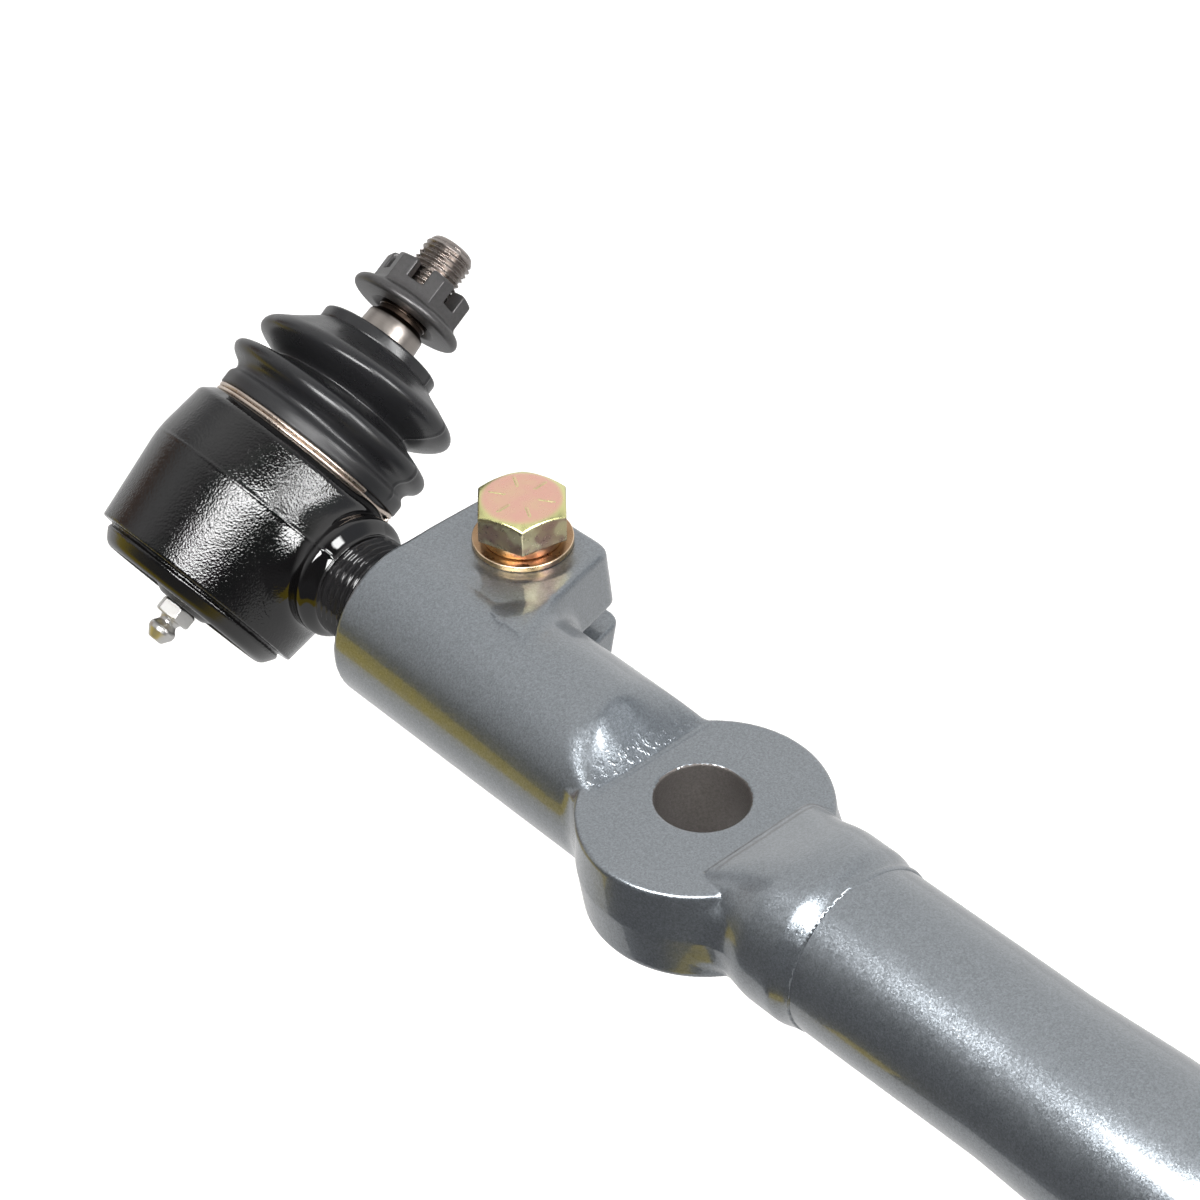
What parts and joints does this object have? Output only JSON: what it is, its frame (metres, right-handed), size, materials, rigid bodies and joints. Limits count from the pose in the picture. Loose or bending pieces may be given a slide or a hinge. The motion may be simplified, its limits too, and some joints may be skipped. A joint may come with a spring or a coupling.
{
  "type": "tie rod end",
  "caption": "Steering tie rod end: ball stud with dust boot in a greaseable socket, screwed into a split clamp forged with an eye and welded to a tube.",
  "frame": {"origin": "centre of the eye's bore, midway between its two flat faces, on the bar's own axis", "axes": "+Z along the eye's bore, towards the head of the clamp bolt; +X along the bar from the ball joint to the tube; +Y towards the clamp's ears"},
  "size_m": [0.3345, 0.1047, 0.08],
  "materials": {
    "bar_paint": "gloss grey-blue metallic powder coat",
    "socket_paint": "gloss black paint over a cast skin",
    "yellow_zinc": "yellow zinc plate",
    "bright_zinc": "bright zinc plate",
    "ring_wire": "bare drawn wire",
    "stud_steel": "ground and turned steel",
    "nut_phosphate": "dark matt phosphate",
    "boot_rubber": "satin moulded rubber",
    "seal_rubber": "matt rubber",
    "seat_plastic": "natural nylon",
    "spring_steel": "oiled spring steel"
  },
  "bodies": {
    "bar": {"clamp_eye_forging": "bar_paint", "weld_bead": "bar_paint", "bar_tube": "bar_paint", "clamp_bolt": "yellow_zinc", "lock_washer": "yellow_zinc", "clamp_washers": "yellow_zinc", "clamp_nut": "yellow_zinc"},
    "socket": {"socket_housing": "socket_paint", "cover_plate": "socket_paint", "cover_seal": "seal_rubber", "boot_wire_ring": "ring_wire", "grease_fitting": "bright_zinc", "grease_check_spring": "spring_steel"},
    "check_ball": {"grease_check_ball": "bright_zinc"},
    "seats": {"upper_seat": "seat_plastic", "lower_seat": "seat_plastic", "preload_spring": "spring_steel"},
    "boot": {"dust_boot": "boot_rubber", "boot_lip_ring": "spring_steel"},
    "stud": {"ball_stud": "stud_steel", "castle_nut": "nut_phosphate"}
  },
  "joints": [
    {"name": "shank_turn", "type": "hinge", "parent": "bar", "child": "socket", "pos_m": [-0.096, 0, 0], "axis": [1, 0, 0], "range_deg": [-180, 180]},
    {"name": "seat_turn", "type": "hinge", "parent": "socket", "child": "seats", "pos_m": [-0.14835, 0, 0], "axis": [0, 0.8415, 0.5402], "continuous": true},
    {"name": "stud_tilt", "type": "hinge", "parent": "seats", "child": "boot", "pos_m": [-0.14835, 0, 0], "axis": [-0.4741, -0.4757, 0.7409], "range_deg": [-27.2, 16.8], "deforming": ["dust_boot"]},
    {"name": "stud_spin", "type": "hinge", "parent": "boot", "child": "stud", "pos_m": [-0.14835, 0, 0], "axis": [-0.0798, 0.8613, 0.5019], "continuous": true},
    {"name": "grease_check", "type": "slide", "parent": "socket", "child": "check_ball", "axis": [0, 0.8415, 0.5402], "range_m": [0, 0.0008], "stiffness_N_per_m": 500, "springref_m": -0.0004, "deforming": ["grease_check_spring"]}
  ]
}
